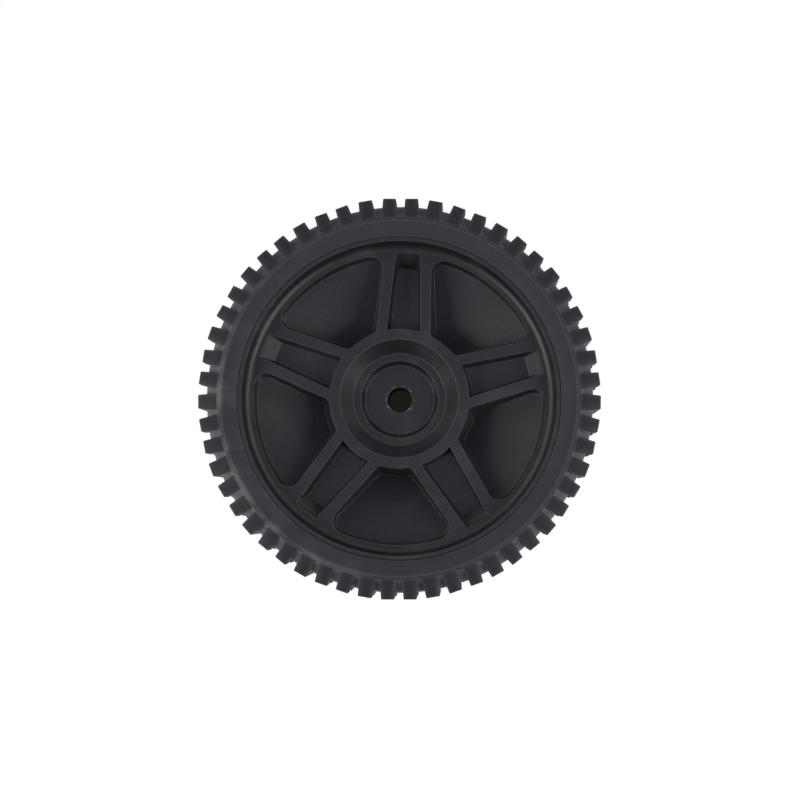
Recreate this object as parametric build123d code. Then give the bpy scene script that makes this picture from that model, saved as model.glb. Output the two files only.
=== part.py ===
from build123d import *
from math import atan2, cos, degrees, hypot, radians, sin, sqrt, tan
import os

os.makedirs("parts", exist_ok=True)

# A garden machine wheel lying on its back, in millimetres. The axle runs along +Z, the outer face looks up,
# and the origin is on the axle at the middle of the tyre's width. One spoke points along +Y.

# Tyre
TYRE_DIAMETER = 203.2
TYRE_WIDTH = 44.4
TYRE_DEPTH = 19.8
LUG_HEIGHT = 3.0
LUG_FACE_DEPTH = 9.4
CREASE_DEPTH = 11.3
SHOULDER_WIDTH = 10.6
TYRE_FIT = 0.1

# Tread: along each shoulder a wide lug takes turns with a pair of narrower, parallel ones
LUG_GROUPS = 18
LUG_PHASE = 3.6
WIDE_LUG_WIDTH = 6.3
WIDE_LUG_LENGTH = 19.0
PAIR_LUG_WIDTH = 5.2
PAIR_LUG_LENGTH = 14.0
PAIR_SPACING = 11.3
LUG_DRAFT = 4.0
LUG_CHAMFER = 1.2
GAP_SETBACK = 0.5

# Rim
RIM_INSET = 2.2
RIM_BAND = 7.0
LIP_WALL = 1.7
LIP_TAPER = 0.8
GROOVE_DEPTH = 3.5
BEAD_FLATS = 3

# Face, spokes and pockets
FACE_HEIGHT = 12.5
SPOKE_COUNT = 5
SPOKE_HUB_WIDTH = 27.4
SPOKE_RIM_WIDTH = 24.0
SPOKE_DRAFT = 9.0
POCKET_HUB_DEPTH = 16.6
POCKET_RIM_DEPTH = 6.5
POCKET_HUB_DRAFT = 12.2
POCKET_HUB_CORNER = 1.2
POCKET_RIM_CORNER = 6.5
RECESS_HUB_WIDTH = 17.3
RECESS_RIM_WIDTH = 12.5
RECESS_DEPTH = 8.4
RECESS_DRAFT = 11.0
RAMP_LENGTH = 6.8

# Hub
HUB_DIAMETER = 71.4
DISH_DIAMETER = 60.8
DISH_FLOOR_DIAMETER = 47.6
DISH_DEPTH = 7.3
SEAT_RING_DIAMETER = 40.0
SEAT_DIAMETER = 35.7
SEAT_DEPTH = 3.3
BOSS_DIAMETER = 26.0
BOSS_SETBACK = 0.5
BORE_DIAMETER = 12.9
BORE_CHAMFER = 0.4

# Moulded wall and back ribs
WALL = 3.0
RIB_COUNT = 5
RIB_WALL = 2.5
RIB_SETBACK = 3.0

# Radii and heights worked out from the sizes above
TIP_R = TYRE_DIAMETER / 2
TREAD_R = TIP_R - LUG_HEIGHT
LUG_FOOT_R = TIP_R - LUG_FACE_DEPTH
CREASE_R = TIP_R - CREASE_DEPTH
RIM_R = TIP_R - TYRE_DEPTH
POCKET_RIM_R = RIM_R - RIM_BAND
HUB_R = HUB_DIAMETER / 2
TYRE_HALF = TYRE_WIDTH / 2
RIM_HALF = TYRE_HALF - RIM_INSET
DISH_Z = FACE_HEIGHT - DISH_DEPTH
SEAT_Z = DISH_Z - SEAT_DEPTH
SEAT_FOOT = (SEAT_DIAMETER / 2, SEAT_Z)
SEAT_HEAD = (SEAT_RING_DIAMETER / 2, DISH_Z)
DISH_FOOT = (DISH_FLOOR_DIAMETER / 2, DISH_Z)
DISH_HEAD = (DISH_DIAMETER / 2, FACE_HEIGHT)
BOSS_Z = BOSS_SETBACK - TYRE_HALF


def run(depth, angle):
    """Sideways run of a wall that leans by an angle over a depth."""
    return depth * tan(radians(angle))


def under(foot, head, z):
    """Radius at a height on the underside of a sloping wall, one wall's thickness below its face."""
    rise = head[1] - foot[1]
    spread = head[0] - foot[0]
    return foot[0] + (z - foot[1]) * spread / rise + WALL * hypot(spread, rise) / rise


def section(points):
    """Closed outline through points, such as (radius, height) ones for a half section."""
    return make_face(Polyline(*points, close=True))


def rolled(r, z, radius):
    """Points of an outer corner rolled over in equal flats, from the top down."""
    turns = [radians(90 * i / BEAD_FLATS) for i in range(BEAD_FLATS + 1)]
    return [(r - radius * (1 - sin(turn)), z - radius * (1 - cos(turn))) for turn in turns]


def turned(face):
    """Full turn of a half section about the axle."""
    return revolve(Plane.XZ * face, Axis.Z)


def around(solid, count):
    """Copies of a solid at equal steps about the axle."""
    return [Rot(0, 0, 360 / count * i) * solid for i in range(count)]


def off_axis(edge):
    """Distance of an edge's middle from the axle."""
    return hypot(edge.center().X, edge.center().Y)


def face_edges(shape):
    """Edges that lie wholly at the height of the wheel's face."""
    return shape.edges().filter_by_position(Axis.Z, FACE_HEIGHT, FACE_HEIGHT)


def upright_edges(shape):
    """Edges that drop from the height of the face, nearest the axle first."""
    flat = face_edges(shape)
    tops = [v.center() for e in flat for v in e.vertices()]
    drops = [e for e in shape.edges() if e not in flat and any(v.center() in tops for v in e.vertices())]
    return ShapeList(drops).sort_by(off_axis)


def disc_section():
    """Half section of the solid disc: dished hub, face, rolled bead, lip and the barrel under the tyre."""
    groove_r = RIM_R - LIP_WALL - LIP_TAPER
    return section([
        (0, SEAT_Z),
        SEAT_FOOT,
        SEAT_HEAD,
        DISH_FOOT,
        DISH_HEAD,
        *rolled(groove_r, FACE_HEIGHT, GROOVE_DEPTH),
        (RIM_R - LIP_WALL, RIM_HALF),
        (RIM_R, RIM_HALF),
        (RIM_R, -RIM_HALF),
        (0, -RIM_HALF),
    ])


def core_section():
    """Half section of the hollow behind the hub and inside the rim barrel."""
    seat_z = SEAT_Z - WALL
    dish_z = DISH_Z - WALL
    top_z = FACE_HEIGHT - 2 * WALL
    barrel_r = RIM_R - WALL
    open_z = -TYRE_HALF
    return section([
        (0, seat_z),
        (under(SEAT_FOOT, SEAT_HEAD, seat_z), seat_z),
        (under(SEAT_FOOT, SEAT_HEAD, dish_z), dish_z),
        (under(DISH_FOOT, DISH_HEAD, dish_z), dish_z),
        (under(DISH_FOOT, DISH_HEAD, top_z), top_z),
        (barrel_r, top_z),
        (barrel_r, open_z),
        (0, open_z),
    ])


def trench_section(skin):
    """Half section of the ring trench outside the hub, with its coned floor, grown by a skin."""
    hub_floor_r = HUB_R + run(POCKET_HUB_DEPTH, POCKET_HUB_DRAFT)
    rim_z = FACE_HEIGHT - POCKET_RIM_DEPTH - skin
    return section([
        (HUB_R - skin, FACE_HEIGHT + skin),
        (hub_floor_r - skin, FACE_HEIGHT - POCKET_HUB_DEPTH - skin),
        (POCKET_RIM_R, rim_z),
        (POCKET_RIM_R + WALL, rim_z),
        (POCKET_RIM_R + WALL, FACE_HEIGHT + skin),
    ])


def recess_section():
    """Half section of the spoke recesses: hub wall, flat floor and the ramp up to the rim."""
    floor_z = FACE_HEIGHT - RECESS_DEPTH
    return section([
        (HUB_R, FACE_HEIGHT),
        (HUB_R + run(RECESS_DEPTH, RECESS_DRAFT), floor_z),
        (POCKET_RIM_R - RAMP_LENGTH, floor_z),
        (POCKET_RIM_R, FACE_HEIGHT),
    ])


def spoke_outline(hub_width, rim_width):
    """Outline of a tapering bar from the axle along +Y, with its widths at the hub and at the rim."""
    slope = (hub_width - rim_width) / 2 / (POCKET_RIM_R - HUB_R)
    near_x = hub_width / 2 + slope * HUB_R
    far_x = rim_width / 2 - slope * (RIM_R - POCKET_RIM_R)
    return make_face(Polyline((-near_x, 0), (near_x, 0), (far_x, RIM_R), (-far_x, RIM_R), close=True))


def sunk(outline, top, depth, draft):
    """Solid below an outline at a height, narrowed by draft as it goes down."""
    return extrude(Pos(0, 0, top) * outline, amount=-depth, taper=draft)


def pockets():
    """The closed pockets between the spokes, with rounded corners and a coned floor."""
    gaps = Circle(POCKET_RIM_R) - around(spoke_outline(SPOKE_HUB_WIDTH, SPOKE_RIM_WIDTH), SPOKE_COUNT)
    gap = Sketch() + gaps.faces().sort_by(Axis.X)[0]
    gap = fillet(gap.vertices().sort_by_distance((0, 0))[-2:], POCKET_RIM_CORNER)
    pocket = sunk(gap, FACE_HEIGHT, POCKET_HUB_DEPTH, SPOKE_DRAFT) & turned(trench_section(0))
    pocket = chamfer(upright_edges(pocket)[:2], POCKET_HUB_CORNER)
    return around(pocket, SPOKE_COUNT)


def recesses():
    """The shallow recess along each spoke, with a ramp up to the rim."""
    outline = spoke_outline(RECESS_HUB_WIDTH, RECESS_RIM_WIDTH)
    recess = sunk(outline, FACE_HEIGHT, RECESS_DEPTH, RECESS_DRAFT) & turned(recess_section())
    return around(recess, SPOKE_COUNT)


def back_core():
    """Hollow of the disc's back. It leaves one wall behind the dish and pockets and runs up each spoke."""
    top = FACE_HEIGHT - RECESS_DEPTH - WALL
    spread = 2 * run(FACE_HEIGHT - top, SPOKE_DRAFT) - 2 * WALL
    outline = spoke_outline(SPOKE_HUB_WIDTH + spread, SPOKE_RIM_WIDTH + spread)
    channel = sunk(outline, top, top + TYRE_HALF, -SPOKE_DRAFT)
    pocket_walls = turned(trench_section(WALL)) - around(channel, SPOKE_COUNT)
    boss = Cylinder(BOSS_DIAMETER / 2, 2 * TYRE_WIDTH)
    return turned(core_section()) - pocket_walls - boss


def wheel_disc():
    """The plastic disc, moulded in one piece."""
    core = back_core()
    rib_height = FACE_HEIGHT + RIM_HALF - RIB_SETBACK
    rib = Pos(0, RIM_R / 2, FACE_HEIGHT - rib_height / 2) * Box(RIB_WALL, RIM_R, rib_height)
    boss = Pos(0, 0, BOSS_Z) * extrude(Circle(BOSS_DIAMETER / 2), amount=SEAT_Z - BOSS_Z)
    bore = Pos(0, 0, BOSS_Z) * extrude(Circle(BORE_DIAMETER / 2), amount=SEAT_Z - BOSS_Z)
    disc = turned(disc_section()) - pockets() - recesses()
    disc = disc - core + [one & core for one in around(rib, RIB_COUNT)] + boss - bore
    rings = ShapeList(e for e in disc.edges().filter_by(GeomType.CIRCLE) if e.is_closed)
    return chamfer(rings.sort_by(SortBy.RADIUS)[:2], BORE_CHAMFER)


def seat_section():
    """Half section of what the tyre leaves free for the rim: its seat between two sloping sidewalls."""
    side = [(RIM_R + TYRE_FIT, RIM_HALF), (CREASE_R, TYRE_HALF), (0, TYRE_HALF)]
    return section([(r, -z) for r, z in reversed(side)] + side)


def carcass(gaps):
    """The tyre without its lugs, with a flat floor and two flat shoulders in each gap between lugs."""
    floor = RegularPolygon(TREAD_R, gaps, major_radius=False)
    crown_half = TYRE_HALF - SHOULDER_WIDTH
    crown = Plane((0, 0, crown_half))
    slope = degrees(atan2(TREAD_R - LUG_FOOT_R + GAP_SETBACK, SHOULDER_WIDTH))
    shoulder = extrude(crown * floor, amount=SHOULDER_WIDTH)
    shoulder = draft(shoulder.faces().filter_by(Axis.Z, reverse=True), crown, slope)
    tread = extrude(floor, amount=crown_half, both=True)
    return tread + shoulder + mirror(shoulder, about=Plane.XY) - turned(seat_section())


def lug(width, length, offset):
    """One front lug that points along +X, beside the X axis by an offset.

    Its farthest corner lies on the tyre's diameter, and its face runs down to the band on the sidewall.
    """
    far_y = offset + width / 2
    tip_x = sqrt(TIP_R**2 - far_y**2)
    root_x = sqrt(((LUG_FOOT_R + CREASE_R) / 2) ** 2 - far_y**2)
    front_z = TYRE_HALF - run(tip_x - LUG_FOOT_R, LUG_DRAFT)
    tip = Plane((tip_x, offset, front_z - length / 2), x_dir=(0, 1, 0), z_dir=(1, 0, 0))
    block = extrude(tip * Rectangle(width, length), amount=root_x - tip_x)
    block = draft(block.faces().filter_by(Axis.X, reverse=True), tip, LUG_DRAFT)
    nose = block.faces().sort_by(Axis.X)[-1].edges().sort_by(Axis.Z)[-1]
    return chamfer(nose, LUG_CHAMFER) & Box(TYRE_DIAMETER, TYRE_DIAMETER, TYRE_WIDTH)


def front_lugs():
    """The lugs of the front shoulder: a wide one, then a parallel pair, repeated all round."""
    wide = lug(WIDE_LUG_WIDTH, WIDE_LUG_LENGTH, 0)
    right = Rot(0, 0, 180 / LUG_GROUPS) * lug(PAIR_LUG_WIDTH, PAIR_LUG_LENGTH, PAIR_SPACING / 2)
    left = mirror(right, about=Plane.XZ)
    return [copy for one in (wide, right, left) for copy in around(one, LUG_GROUPS)]


def tyre():
    """The rubber tyre, moulded in one piece with its lugs."""
    front = front_lugs()
    back = [mirror(one, about=Plane.XY) for one in front]
    return Rot(0, 0, LUG_PHASE) * (carcass(len(front)) + front + back)


export_step(wheel_disc(), "parts/wheel_disc.step")
export_step(tyre(), "parts/tyre.step")
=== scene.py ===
"""Looks of a small garden machine wheel: a spoked plastic disc in a lugged rubber tyre, seen from above."""

from math import cos, pi, radians, sin, sqrt, tan

import bmesh
import bpy
from bpy.props import FloatProperty, FloatVectorProperty, IntProperty, PointerProperty
from mathutils import Matrix, Vector, noise


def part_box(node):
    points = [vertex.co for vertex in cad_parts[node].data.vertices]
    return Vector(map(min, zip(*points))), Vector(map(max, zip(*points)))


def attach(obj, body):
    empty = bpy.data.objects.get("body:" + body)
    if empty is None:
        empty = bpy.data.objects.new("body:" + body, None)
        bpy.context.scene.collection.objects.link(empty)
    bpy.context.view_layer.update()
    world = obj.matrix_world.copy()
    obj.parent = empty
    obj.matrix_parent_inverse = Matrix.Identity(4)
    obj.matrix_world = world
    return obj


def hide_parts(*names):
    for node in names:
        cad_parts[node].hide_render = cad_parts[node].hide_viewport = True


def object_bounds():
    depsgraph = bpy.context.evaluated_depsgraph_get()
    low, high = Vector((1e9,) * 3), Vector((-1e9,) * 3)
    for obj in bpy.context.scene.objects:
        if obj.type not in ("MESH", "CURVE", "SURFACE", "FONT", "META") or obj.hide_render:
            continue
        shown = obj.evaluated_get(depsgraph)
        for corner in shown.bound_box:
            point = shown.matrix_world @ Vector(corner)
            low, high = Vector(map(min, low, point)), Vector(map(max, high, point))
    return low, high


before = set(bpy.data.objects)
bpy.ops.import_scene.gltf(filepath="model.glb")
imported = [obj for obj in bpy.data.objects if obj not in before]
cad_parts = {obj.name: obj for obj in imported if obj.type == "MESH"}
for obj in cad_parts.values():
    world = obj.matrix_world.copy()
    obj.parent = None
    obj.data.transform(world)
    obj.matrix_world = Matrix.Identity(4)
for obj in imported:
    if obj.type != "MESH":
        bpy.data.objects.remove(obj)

bl_info = {
    "name": "Garden Machine Wheel",
    "version": (1, 0, 0),
    "blender": (4, 5, 0),
    "location": "3D View > Sidebar > Wheel",
    "description": "Builds the looks of a small garden machine wheel",
    "category": "Object",
}

CAD_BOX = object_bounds()
TYRE_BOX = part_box("tyre")
MM = 0.001
AXLE = (0, 0, 1)
WHEEL_PLANE = (1, 1, 0)

# Steps of the turned shapes
RING_STEPS = 216
FLASH_STEPS = 150
COVE_STEPS = 8

# Stage, in metres and watts: each soft box has a name, a place, a size, a power and a tint
FLOOR_SIZE = 40.0
SHADE_INNER = 85 * MM
SHADE_OUTER = 100 * MM
SKY_STRENGTH = 0.06
CAMERA_PLACE = (0.0347, -0.0523, 0.7975)
CAMERA_ROLL = radians(3.6)
CAMERA_LENS = 69.3
CAMERA_SENSOR = 36.0
CAMERA_RANGE = 50.0
SIDE_BOX = (0.5, 0.8)
WHITE = (1, 1, 1)
SOFT_BOXES = (
    ("left_low_box", (-1.0, -0.45, 0.72), SIDE_BOX, 10.0, WHITE),
    ("right_low_box", (1.0, -0.45, 0.72), SIDE_BOX, 10.0, WHITE),
    ("left_high_box", (-1.0, 0.5, 0.6), SIDE_BOX, 4.0, WHITE),
    ("right_high_box", (1.0, 0.5, 0.6), SIDE_BOX, 4.0, WHITE),
    ("back_box", (0.0, 1.0, 0.6), (0.8, 0.4), 2.0, WHITE),
    ("over_box", (0.0, 0.0, 1.5), (1.3, 1.3), 2.5, (0.84, 0.93, 1.18)),
)


def length(name, description, default):
    """A size in metres that a user can change."""
    return FloatProperty(
        name=name, description=description, default=default, min=0, unit="LENGTH", precision=5
    )


def angle(name, description, degrees):
    """An angle that a user can change."""
    return FloatProperty(name=name, description=description, default=radians(degrees), subtype="ANGLE")


def colour(name, description, default):
    """A colour that a user can change."""
    return FloatVectorProperty(
        name=name, description=description, default=default, subtype="COLOR", min=0, max=1
    )


class WheelTyreSizes(bpy.types.PropertyGroup):
    """Sizes of the tyre's body and of its lugs, and where its dust and its painted light lie."""

    tip_radius: length("Tip radius", "Radius over the lugs", TYRE_BOX[1].y + 0.6 * MM)
    half_width: length("Half width", "Half of the tyre's width", TYRE_BOX[1].z)
    tread_radius: length("Tread radius", "Radius of the floor between the lugs", 99.0 * MM)
    foot_radius: length("Lug foot radius", "Radius where a lug's face meets the side band", 92.0 * MM)
    crease_radius: length("Crease radius", "Radius of the crease round the sidewall", 90.3 * MM)
    seat_radius: length("Seat radius", "Radius of the tyre's seat on the rim", 81.9 * MM)
    seat_half: length("Seat half width", "Half of the seat's width", 20.0 * MM)
    seam: length("Seam", "Size of the open seam between the tyre and the rim's lip", 0.5 * MM)
    side_bulge: length("Side bulge", "How far the sidewall swells above a straight line", 0.35 * MM)
    band_drop: length("Band drop", "How far the band slopes down to the lugs' feet", 0.65 * MM)
    shoulder_width: length("Shoulder width", "Run of the rounded shoulder along the axle", 11.2 * MM)
    shoulder_rise: length("Shoulder rise", "Run of the shoulder's upper slope along the axle", 3.6 * MM)
    shoulder_inset: length("Shoulder inset", "How far the shoulder's bend lies inside the floor", 1.0 * MM)
    shoulder_round: length("Shoulder round", "Size of the shoulder's rounding", 2.9 * MM)
    lug_root: length("Lug root", "How deep a lug is rooted inside the band", 1.5 * MM)
    edge_round: length("Edge round", "Size of the rounding on a lug's edges", 0.35 * MM)
    nose_round: length("Nose round", "Size of the rounding between a lug's face and tip", 1.2 * MM)
    wide_width: length("Wide lug width", "Width of a wide lug's tip", 6.9 * MM)
    wide_length: length("Wide lug length", "Length of a wide lug along the axle", 19.0 * MM)
    pair_width: length("Pair lug width", "Width of the tip of each lug in a pair", 6.5 * MM)
    pair_length: length("Pair lug length", "Length of each lug in a pair along the axle", 14.0 * MM)
    pair_spacing: length("Pair spacing", "Distance between the middles of a pair's lugs", 11.3 * MM)
    draft: angle("Draft", "Slope of a lug's sides", 4.0)
    phase: angle("Phase", "Turn of the tread about the axle", 3.35)
    drift: angle("Drift", "How far the lugs stray from even spacing", 1.4)
    drift_way: angle("Drift way", "Side of the tread where the lugs stray most", 15.0)
    groups: IntProperty(
        name="Lug groups", description="Groups of three lugs round a shoulder", default=18, min=3
    )
    edge_soft: length("Edge softness", "Radius over which the rubber's edges look rounded", 0.6 * MM)
    grain_depth: length("Grain depth", "Depth of the rubber's grain", 0.08 * MM)
    # The main side has the most bloom and dust, and painted light between its lugs
    main_side_way: angle("Bloom way", "Side with the most bloom and dust, counted from +X", 205.0)
    # The second side has dust and painted light between its lugs
    second_side_way: angle("Dust way", "Other side with dust between the lugs, counted from +X", -25.0)
    # The sides' bloom, dust and painted light fade in between these distances
    side_start: length("Dust start", "Distance towards a dusty side where the dust starts", 20.0 * MM)
    side_full: length("Dust full", "Distance towards a dusty side where the dust is full", 100.0 * MM)


class WheelDiscSizes(bpy.types.PropertyGroup):
    """Sizes of what is added to the disc, the cove and the flash, and of the zones that are painted on it."""

    cove_inner: length("Cove inner radius", "Radius where the cove leaves the disc's face", 75.4 * MM)
    cove_round: length("Cove round", "Radius of the cove's hollow", 4.2 * MM)
    cove_rise: length("Cove rise", "Height of the cove's top over the disc's face", 6.5 * MM)
    cove_slope: angle("Cove slope", "Slope of the cove's upper wall", 75.0)
    cove_root: length("Cove root", "How deep the cove is rooted in the disc", 2.0 * MM)
    cove_run_in: length("Cove run-in", "How far the cove starts below the face, inside its radius", 0.6 * MM)
    face_height: length("Face height", "Height of the disc's face over the wheel's middle", 12.5 * MM)
    seat_height: length("Seat height", "Height of the bore's seat over the wheel's middle", 1.9 * MM)
    seat_wall_inner: length("Seat wall inner radius", "Radius of the foot of the seat's wall", 17.6 * MM)
    seat_wall_outer: length("Seat wall outer radius", "Radius of the head of the seat's wall", 20.2 * MM)
    dish_radius: length("Dish radius", "Radius of the hub's dish", 30.4 * MM)
    recess_depth: length("Recess depth", "Depth of the spokes' recesses below the face", 8.4 * MM)
    ramp_inner: length("Ramp inner radius", "Radius outside which the recesses' ramps lie", 60.0 * MM)
    ramp_outer: length("Ramp outer radius", "Radius of the ramps' upper edges", 74.5 * MM)
    ramp_side: length("Ramp side", "Distance to the left or right where a ramp is palest", 56.6 * MM)
    flash_inner: length("Flash inner radius", "Radius of the flash's torn edge", 6.5 * MM)
    flash_outer: length("Flash outer radius", "Radius of the flash's foot", 7.9 * MM)
    flash_rise: length("Flash rise", "Height of the flash over the seat", 1.0 * MM)
    edge_soft: length("Edge softness", "Radius over which the plastic's edges look rounded", 0.4 * MM)
    grain_depth: length("Grain depth", "Depth of the plastic's grain", 0.13 * MM)


class WheelColours(bpy.types.PropertyGroup):
    """Colours of the plastic, the rubber and the stage."""

    plastic: colour("Plastic", "The disc's black plastic", (0.0100, 0.0104, 0.0128))
    # Paler rubbed places, and also the painted highlight on the recesses' ramps and the painted light on
    # their floors
    scuff_and_painted_light: colour("Scuff", "Paler rubbed places on the plastic", (0.050, 0.051, 0.055))
    # Painted highlight: the pale lines painted along the plastic's edges
    edge: colour("Edge", "Pale lines along the plastic's edges", (0.100, 0.101, 0.106))
    # Painted glints: the pale patches on the flash
    flash: colour("Flash", "The torn flash at the bore", (0.110, 0.105, 0.100))
    rubber: colour("Rubber", "The tyre's black rubber", (0.0228, 0.0239, 0.0288))
    # The lugs' rubber is darker than the body's
    lug_tone: colour("Worn rubber", "The darker rubber of the lugs", (0.0122, 0.0130, 0.0168))
    # Also the colour of the painted light between the lugs and of the painted highlights along the rubber's
    # edges
    bloom: colour("Bloom", "The dusty bloom on the rubber", (0.076, 0.080, 0.089))
    # Pale dust on the band, and painted light between the lugs on two sides, in one colour
    dust: colour("Dust", "Pale dust between the lugs on two sides", (0.170, 0.160, 0.156))
    floor: colour("Floor", "The bright floor round the wheel", (1.0, 1.0, 1.0))
    shade: colour("Shade", "The floor in the dark under the wheel", (0.012, 0.0105, 0.009))


class WheelSettings(bpy.types.PropertyGroup):
    """All that a user can change."""

    disc: PointerProperty(type=WheelDiscSizes)
    tyre: PointerProperty(type=WheelTyreSizes)
    colours: PointerProperty(type=WheelColours)


class Socket:
    """An output in a material's node tree. Maths on it adds Math nodes."""

    def __init__(self, look, output):
        self.look = look
        self.output = output

    def maths(self, operation, *values):
        return self.look.add("ShaderNodeMath", {"operation": operation}, dict(enumerate(values)))

    def __add__(self, other):
        return self.maths("ADD", self, other)

    def __radd__(self, other):
        return self.maths("ADD", other, self)

    def __sub__(self, other):
        return self.maths("SUBTRACT", self, other)

    def __rsub__(self, other):
        return self.maths("SUBTRACT", other, self)

    def __mul__(self, other):
        return self.maths("MULTIPLY", self, other)

    def __rmul__(self, other):
        return self.maths("MULTIPLY", other, self)

    def ramp(self, low, high):
        """0 at the low value, 1 at the high one, smooth between them."""
        inputs = {"Value": self, "From Min": low, "From Max": high}
        return self.look.add("ShaderNodeMapRange", {"interpolation_type": "SMOOTHSTEP"}, inputs)

    def within(self, low, high, fade):
        """1 between two values, smooth over a fade inside each of them."""
        return self.ramp(low, low + fade) * (1 - self.ramp(high - fade, high))


class Look:
    """A material that is built up round its Principled shader."""

    def __init__(self, name):
        self.material = bpy.data.materials.new(name)
        self.material.use_nodes = True
        self.tree = self.material.node_tree
        self.shader = next(n for n in self.tree.nodes if n.type == "BSDF_PRINCIPLED")
        self.place = self.add("ShaderNodeTexCoord", output="Object")

    def add(self, kind, settings=None, inputs=None, output=0):
        """A node of a kind with its settings, then its inputs' values or links. Gives one of its outputs."""
        node = self.tree.nodes.new(kind)
        for name, value in (settings or {}).items():
            setattr(node, name, value)
        for name, value in (inputs or {}).items():
            self.feed(node.inputs[name], value)
        return Socket(self, node.outputs[output])

    def feed(self, target, value):
        """Links an output to a socket, or sets the socket to a plain value."""
        if isinstance(value, Socket):
            self.tree.links.new(value.output, target)
        else:
            target.default_value = value

    def paint(self, **sockets):
        """Feeds the shader's own sockets, named with underscores for spaces."""
        for name, value in sockets.items():
            self.feed(self.shader.inputs[name.replace("_", " ")], value)

    def vector(self, operation, *vectors, output="Vector"):
        """Vector maths on outputs or plain vectors."""
        return self.add("ShaderNodeVectorMath", {"operation": operation}, dict(enumerate(vectors)), output)

    def dot(self, first, second):
        """How far two vectors go the same way."""
        return self.vector("DOT_PRODUCT", first, second, output="Value")

    def noise(self, scale, detail=2, roughness=0.5, distortion=0):
        """Soft noise over the piece, in features per metre."""
        inputs = {"Vector": self.place, "Scale": scale, "Detail": detail}
        inputs.update({"Roughness": roughness, "Distortion": distortion})
        return self.add("ShaderNodeTexNoise", None, inputs)

    def specks(self, scale, size):
        """Small round specks scattered over the piece: 1 inside them."""
        cells = self.add("ShaderNodeTexVoronoi", None, {"Vector": self.place, "Scale": scale})
        return 1 - cells.ramp(size * 0.6, size)

    def ray(self):
        """The way from the axle to the surface."""
        return self.vector("MULTIPLY", self.place, WHEEL_PLANE)

    def radius(self):
        """Distance from the axle."""
        return self.vector("LENGTH", self.ray(), output="Value")

    def height(self):
        """Distance along the axle from the wheel's middle."""
        return self.dot(self.place, AXLE)

    def toward(self, turned):
        """Distance along a direction in the wheel's plane, turned from +X."""
        return self.dot(self.place, (cos(turned), sin(turned), 0))

    def face(self):
        """The way that the surface faces, without softness or relief."""
        return self.add("ShaderNodeNewGeometry", output="True Normal")

    def outward(self):
        """How far the surface faces away from the axle: 1 where it looks straight out."""
        return self.dot(self.vector("NORMALIZE", self.ray()), self.face())

    def upward(self):
        """How far the surface faces along the axle: 1 where it is level."""
        return self.dot(self.face(), AXLE)

    def mix(self, share, first, second):
        """A colour between two. The node's colour sockets are its inputs 6 and 7 and its output 2."""
        return self.add("ShaderNodeMix", {"data_type": "RGBA"}, {"Factor": share, 6: first, 7: second}, 2)

    def soft(self, size):
        """The normal with edges rounded over a small radius."""
        return self.add("ShaderNodeBevel", {"samples": 6}, {"Radius": size})

    def edges(self, soft):
        """1 along the edges that a softened normal rounds."""
        return (1 - self.dot(soft, self.face())).ramp(0.004, 0.05)

    def relief(self, soft, height, distance):
        """A normal from a height over a softened normal."""
        return self.add("ShaderNodeBump", None, {"Height": height, "Distance": distance, "Normal": soft})


def rgba(value):
    """A colour property with full alpha."""
    return (*value, 1.0)


def plastic_look(d, colours):
    """Black moulded plastic: satin, with a fine grain, painted highlights along its edges and on the
    recesses' ramps, painted light on the recesses' floors, soft patches and dust.
    """
    look = Look("disc_plastic")
    soft = look.soft(d.edge_soft)
    grain = look.noise(1400, 2, 0.7)
    patches = look.noise(38, 3, 0.55, 0.4).ramp(0.50, 0.78)
    specks = look.specks(260, 0.035)
    from_axle = look.radius()

    # Painted highlight: the recesses' ramps are painted paler, palest at the left and right of the wheel, the
    # sides that the soft boxes light
    inward = 0 - look.outward()
    slopes = inward.ramp(0.55, 0.70) * (1 - inward.ramp(0.85, 0.95))
    across = look.toward(0) * look.toward(0)
    paleness = 0.22 + across.ramp(0.0, d.ramp_side**2) * 0.53
    ramps = slopes * from_axle.within(d.ramp_inner, d.ramp_outer, 1.0 * MM) * paleness

    # Painted light: the recesses' floors, the level faces outside the dish that lie well below the disc's
    # face, are painted a little paler
    floor_height = d.face_height - d.recess_depth
    low = 1 - look.height().ramp(floor_height + 2.0 * MM, floor_height + 4.0 * MM)
    outside_dish = from_axle.ramp(d.dish_radius, d.dish_radius + 1.0 * MM)
    floors = look.upward().ramp(0.985, 0.995) * low * outside_dish

    # Pale patches and specks, with the painted highlight on the ramps and the painted light on the floors
    scuffed_and_lit = patches * 0.25 + specks * 0.5 + ramps + floors * 0.2
    skin = look.mix(scuffed_and_lit, rgba(colours.plastic), rgba(colours.scuff_and_painted_light))
    seat_wall = from_axle.within(d.seat_wall_inner, d.seat_wall_outer, 0.6 * MM)
    # Painted highlights: the edges are painted paler in the edge colour; the seat's wall is only made
    # glossier
    look.paint(
        Base_Color=look.mix(look.edges(soft) * 0.8, skin, rgba(colours.edge)),
        Roughness=0.45 + patches * 0.08 - grain * 0.06 - seat_wall * 0.22,
        Normal=look.relief(soft, grain, d.grain_depth),
    )
    return look.material


def flash_look(colours):
    """Thin torn plastic: black, with pale patches that are painted glints."""
    look = Look("flash_plastic")
    # Painted highlight: noise picks where the pale glints lie
    folds = look.noise(1600, 2, 0.5).ramp(0.40, 0.62)
    look.paint(Base_Color=look.mix(folds, rgba(colours.plastic), rgba(colours.flash)), Roughness=0.35)
    return look.material


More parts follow.
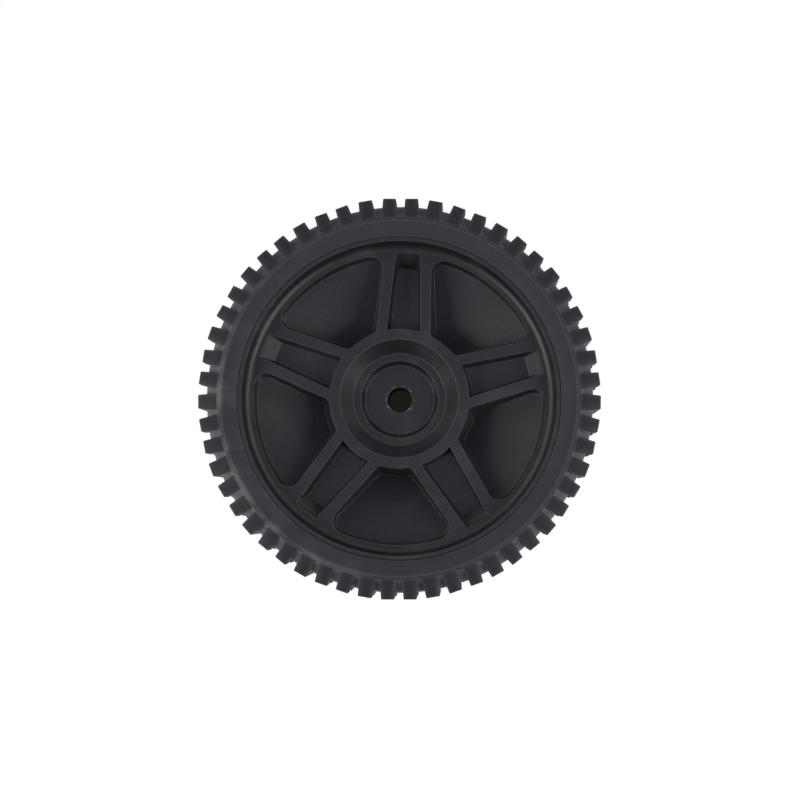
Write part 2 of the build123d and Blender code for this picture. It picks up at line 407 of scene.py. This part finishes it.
def rubber_look(t, colours):
    """Black rubber: matt, with painted highlights along its edges, a bloom that is stronger on one side, and
    dust and painted light between the lugs.
    """
    look = Look("tyre_rubber")
    soft = look.soft(t.edge_soft)
    grain = look.noise(900, 3, 0.65)
    cloud = look.noise(60, 4, 0.6, 0.3)
    side, far_side = (look.toward(way).ramp(t.side_start, t.side_full) for way in (t.main_side_way, t.second_side_way))

    # Zones by radius: the lugs, the band inside their feet, and the outward faces up to the tread's floor,
    # which are painted paler as painted light
    from_axle = look.radius()
    lugs = from_axle.ramp(t.foot_radius - 0.5 * MM, t.foot_radius + 1.0 * MM)
    band = from_axle.ramp(t.crease_radius - 1.8 * MM, t.crease_radius + 1.2 * MM) * (1 - lugs)
    tips = from_axle.ramp(t.tread_radius + 0.3 * MM, t.tread_radius + 1.3 * MM)
    # Painted light: the outward faces between the lugs, which catch the side lights
    lit_grooves = look.outward().ramp(0.38, 0.62) * (1 - tips)

    bloom = cloud.ramp(0.42, 0.75) * (0.10 + side * 0.30) * (1 - lugs * 0.6)
    # Bloom, with painted light on the outward faces between the lugs and painted highlights along the edges,
    # all in the bloom colour
    pale = bloom + lit_grooves * (0.5 + cloud * 0.3) + look.edges(soft) * 0.55
    # Dust on the band, and painted light on the outward faces between the lugs, on two sides
    dusty_and_lit = side * (lit_grooves * 0.6 + band * cloud.ramp(0.35, 0.70) * 0.55) + far_side * lit_grooves * 0.3
    skin = look.mix(lugs, rgba(colours.rubber), rgba(colours.lug_tone))
    bloomed_and_lit = look.mix(pale, skin, rgba(colours.bloom))
    look.paint(
        Base_Color=look.mix(dusty_and_lit, bloomed_and_lit, rgba(colours.dust)),
        Roughness=0.58 + bloom * 0.2,
        Specular_IOR_Level=0.3,
        Normal=look.relief(soft, grain, t.grain_depth),
    )
    return look.material


def floor_look(colours):
    """A floor that glows, dark under the wheel."""
    look = Look("pale_floor")
    lit = look.radius().ramp(SHADE_INNER, SHADE_OUTER)
    look.paint(
        Base_Color=rgba((0, 0, 0)),
        Specular_IOR_Level=0,
        Emission_Color=look.mix(lit, rgba(colours.shade), rgba(colours.floor)),
        Emission_Strength=1.0,
    )
    return look.material


def settings():
    """The scene's own values of all that a user can change."""
    return bpy.context.scene.wheel


def dress(piece, material):
    """Gives a piece its one material."""
    piece.data.materials.clear()
    piece.data.materials.append(material)


def new_object(name, data):
    """Puts a mesh, light or camera into the scene."""
    item = bpy.data.objects.new(name, data)
    bpy.context.scene.collection.objects.link(item)
    return item


def new_piece(name, bm, material, sharp=35):
    """Closes a bmesh into a piece of the wheel with outward faces and smooth shading up to an angle."""
    bmesh.ops.remove_doubles(bm, verts=bm.verts, dist=1e-6)
    bmesh.ops.recalc_face_normals(bm, faces=bm.faces)
    mesh = bpy.data.meshes.new(name)
    bm.to_mesh(mesh)
    bm.free()
    mesh.shade_smooth()
    mesh.set_sharp_from_angle(angle=radians(sharp))
    piece = new_object(name, mesh)
    dress(piece, material)
    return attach(piece, "root")


def profile(bm, points):
    """A flat closed outline of (radius, height) points in the XZ plane."""
    return bm.faces.new([bm.verts.new((r, 0, z)) for r, z in points])


def bevel(bm, geom, offset, segments, affect="EDGES"):
    """Rounds some edges or corners."""
    bmesh.ops.bevel(
        bm, geom=geom, offset=offset, segments=segments, profile=0.5, affect=affect, material=-1
    )


def round_corner(bm, point, offset, segments):
    """Rounds the outline's corner nearest to a point."""
    spot = Vector((point[0], 0, point[1]))
    corner = min(bm.verts, key=lambda v: (v.co - spot).length)
    bevel(bm, [corner], offset, segments, "VERTICES")


def full_turn(bm, steps):
    """Turns the outline's edges about the axle into a closed ring."""
    bmesh.ops.delete(bm, geom=bm.faces[:], context="FACES_ONLY")
    outline = bm.verts[:] + bm.edges[:]
    bmesh.ops.spin(
        bm, geom=outline, cent=(0, 0, 0), axis=AXLE, angle=2 * pi, steps=steps, use_merge=True
    )


def tyre_body(bm, t):
    """The tyre without its lugs: seat, swollen sidewalls, bands, round shoulders and tread floor."""
    half = t.half_width
    middle = ((t.seat_radius + t.crease_radius) / 2, (t.seat_half + half) / 2 + t.side_bulge)
    bend = (t.tread_radius - t.shoulder_inset, half - t.band_drop - t.shoulder_rise)
    front = [
        (t.seat_radius, t.seat_half - 2 * t.seam),
        (t.seat_radius + t.seam, t.seat_half),
        middle,
        (t.crease_radius, half),
        (t.foot_radius, half - t.band_drop),
        bend,
        (t.tread_radius, half - t.shoulder_width),
    ]
    profile(bm, front + [(r, -z) for r, z in reversed(front)])
    for r, z in (bend, middle):
        for side in (1, -1):
            round_corner(bm, (r, side * z), t.shoulder_round, 4)
    full_turn(bm, RING_STEPS)


def lug(bm, t, width, run, offset):
    """One front lug with rounded edges that points along +X, beside the X axis by an offset."""
    tip = sqrt(t.tip_radius**2 - (offset + width / 2) ** 2)
    root = t.foot_radius - t.lug_root
    height = tip - root
    front = t.half_width - t.band_drop - (tip - t.foot_radius) * tan(t.draft)
    middle = Vector((root + height / 2, offset, front - run / 2))
    block = Matrix.Translation(middle) @ Matrix.Diagonal((height, width, run, 1))
    verts = bmesh.ops.create_cube(bm, size=1, matrix=block)["verts"]
    spread = 2 * height * tan(t.draft)
    foot = [v for v in verts if v.co.x < middle.x]
    wider = (1, 1 + spread / width, 1 + spread / run)
    bmesh.ops.scale(bm, verts=foot, vec=wider, space=Matrix.Translation(-middle))
    nose = [e for e in bm.edges if all(v not in foot and v.co.z > middle.z for v in e.verts)]
    bevel(bm, nose, t.nose_round, 3)
    outer = [e for e in bm.edges if any(v.co.x > middle.x for v in e.verts)]
    bevel(bm, [e for e in outer if e.calc_face_angle() > radians(40)], t.edge_round, 2)


def turn(turned):
    """A turn about the axle."""
    return Matrix.Rotation(turned, 4, "Z")


def tread(bm, t):
    """Adds every lug: a wide one, then a parallel pair, repeated round both shoulders."""
    pitch = 2 * pi / t.groups
    keep = Matrix.Identity(4)
    below = Matrix.Scale(-1, 4, AXLE)
    across = Matrix.Scale(-1, 4, (0, 1, 0))
    for sizes, start, mates in (
        ((t.wide_width, t.wide_length, 0), 0, (keep,)),
        ((t.pair_width, t.pair_length, t.pair_spacing / 2), pitch / 2, (keep, across)),
    ):
        one = bmesh.new()
        lug(one, t, *sizes)
        mesh = bpy.data.meshes.new("lug")
        one.to_mesh(mesh)
        one.free()
        places = [shoulder @ mate for shoulder in (keep, below) for mate in mates]
        for i in range(t.groups):
            even = start + pitch * i
            spot = turn(even - t.drift * cos(even - t.drift_way))
            for place in places:
                before = len(bm.verts)
                bm.from_mesh(mesh)
                bm.verts.ensure_lookup_table()
                bmesh.ops.transform(bm, matrix=spot @ place, verts=bm.verts[before:])
        bpy.data.meshes.remove(mesh)


def rim_cove(bm, d):
    """The hollow sweep from the disc's face up to the lip, rooted in the disc behind it."""
    face = d.face_height
    top = face + d.cove_rise
    turns = [d.cove_slope * i / COVE_STEPS for i in range(COVE_STEPS + 1)]
    sweep = [(d.cove_inner + d.cove_round * sin(a), face + d.cove_round * (1 - cos(a))) for a in turns]
    brim = sweep[-1][0] + (top - sweep[-1][1]) / tan(d.cove_slope)
    start = d.cove_inner - d.cove_run_in
    hidden = [
        (brim + d.cove_root / 2, top),
        (brim + d.cove_root / 4, face),
        (brim - d.cove_round, face - d.cove_root),
        (start, face - d.cove_root),
        (start, face - d.cove_run_in / 10),
    ]
    profile(bm, sweep + [(brim, top)] + hidden)
    full_turn(bm, RING_STEPS)


def bore_flash(bm, d):
    """A torn, crumpled rim of thin flash round the mouth of the bore, calm along its lower side."""
    sunk = d.seat_height - d.flash_rise / 6
    wall = (d.flash_outer - d.flash_inner) / 5
    profile(bm, [
        (d.flash_inner, sunk),
        (d.flash_inner + wall, d.seat_height + d.flash_rise * 0.6),
        (d.flash_inner + 2 * wall, d.seat_height + d.flash_rise),
        (d.flash_outer, sunk),
    ])
    full_turn(bm, FLASH_STEPS)
    folds, creases, sway = 550, 1500, 700
    for v in bm.verts:
        calm = max(0.0, min(1.0, 3 * v.co.y / v.co.xy.length + 2.4))
        crumple = noise.noise(v.co * folds) + 0.8 * noise.noise(v.co * creases)
        v.co.xy *= 1 + calm * 0.09 * noise.noise(v.co * sway)
        v.co.z = sunk + (v.co.z - sunk) * calm * max(0.1, 0.7 + crumple)


class WHEEL_OT_disc(bpy.types.Operator):
    """Finishes the moulded disc in black plastic, with its cove and the flash at its bore"""

    bl_idname = "wheel.disc"
    bl_label = "Disc"

    def execute(self, context):
        d, colours = settings().disc, settings().colours
        plastic = plastic_look(d, colours)
        dress(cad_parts["wheel_disc"], plastic)
        for name, shape, material in (
            ("rim_cove", rim_cove, plastic),
            ("bore_flash", bore_flash, flash_look(colours)),
        ):
            bm = bmesh.new()
            shape(bm, d)
            new_piece(name, bm, material)
        return {"FINISHED"}


class WHEEL_OT_tyre(bpy.types.Operator):
    """Builds the rubber tyre with its lugs"""

    bl_idname = "wheel.tyre"
    bl_label = "Tyre"

    def execute(self, context):
        t, colours = settings().tyre, settings().colours
        bm = bmesh.new()
        tyre_body(bm, t)
        tread(bm, t)
        bmesh.ops.rotate(bm, verts=bm.verts, cent=(0, 0, 0), matrix=turn(t.phase).to_3x3())
        piece = new_piece("tyre_rubber", bm, rubber_look(t, colours))
        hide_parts("tyre")
        return {"FINISHED"}


def add_floor(colours):
    """The pale floor that the wheel lies on."""
    bm = bmesh.new()
    bmesh.ops.create_grid(bm, x_segments=1, y_segments=1, size=FLOOR_SIZE)
    bmesh.ops.translate(bm, verts=bm.verts, vec=(0, 0, CAD_BOX[0].z))
    mesh = bpy.data.meshes.new("floor")
    bm.to_mesh(mesh)
    bm.free()
    floor = new_object("floor", mesh)
    dress(floor, floor_look(colours))


def add_sky(scene):
    """A faint even light from all round."""
    world = bpy.data.worlds.new("studio")
    world.use_nodes = True
    background = world.node_tree.nodes["Background"]
    background.inputs["Color"].default_value = rgba(WHITE)
    background.inputs["Strength"].default_value = SKY_STRENGTH
    scene.world = world


def add_soft_box(name, place, size, power, tint):
    """A soft light that aims at the wheel's middle."""
    data = bpy.data.lights.new(name, "AREA")
    data.shape = "RECTANGLE"
    data.size, data.size_y = size
    data.energy = power
    data.color = tint
    lamp = new_object(name, data)
    lamp.location = place
    lamp.rotation_euler = (-Vector(place)).to_track_quat("-Z", "Y").to_euler()


def add_camera(scene):
    """The camera, which aims at the wheel's middle with a small roll."""
    data = bpy.data.cameras.new("camera")
    data.lens = CAMERA_LENS
    data.sensor_width = CAMERA_SENSOR
    data.clip_end = CAMERA_RANGE
    place = Vector(CAMERA_PLACE)
    back = place.normalized()
    right = Vector((-sin(CAMERA_ROLL), cos(CAMERA_ROLL), 0)).cross(back).normalized()
    up = back.cross(right)
    camera = new_object("camera", data)
    camera.matrix_world = Matrix((
        (right.x, up.x, back.x, place.x),
        (right.y, up.y, back.y, place.y),
        (right.z, up.z, back.z, place.z),
        (0, 0, 0, 1),
    ))
    scene.camera = camera


class WHEEL_OT_stage(bpy.types.Operator):
    """Sets the pale floor, the soft lights and the camera"""

    bl_idname = "wheel.stage"
    bl_label = "Stage"

    def execute(self, context):
        scene = context.scene
        scene.view_settings.view_transform = "Standard"
        add_floor(settings().colours)
        add_sky(scene)
        for box in SOFT_BOXES:
            add_soft_box(*box)
        add_camera(scene)
        return {"FINISHED"}


class WHEEL_PT_panel(bpy.types.Panel):
    """Lists the wheel's sizes, colours and steps"""

    bl_label = "Wheel"
    bl_idname = "WHEEL_PT_panel"
    bl_space_type = "VIEW_3D"
    bl_region_type = "UI"
    bl_category = "Wheel"

    def draw(self, context):
        for group in (settings().disc, settings().tyre, settings().colours):
            box = self.layout.box()
            for name in group.bl_rna.properties.keys():
                if name not in ("rna_type", "name"):
                    box.prop(group, name)
        for step in STEPS:
            self.layout.operator(step.bl_idname)


STEPS = (WHEEL_OT_disc, WHEEL_OT_tyre, WHEEL_OT_stage)
CLASSES = (WheelDiscSizes, WheelTyreSizes, WheelColours, WheelSettings, *STEPS, WHEEL_PT_panel)


def register():
    for item in CLASSES:
        bpy.utils.register_class(item)
    bpy.types.Scene.wheel = PointerProperty(type=WheelSettings)


def unregister():
    del bpy.types.Scene.wheel
    for item in reversed(CLASSES):
        bpy.utils.unregister_class(item)


def main():
    register()
    bpy.ops.wheel.disc()
    bpy.ops.wheel.tyre()
    bpy.ops.wheel.stage()
    bpy.context.view_layer.update()


if __name__ == "__main__":
    main()
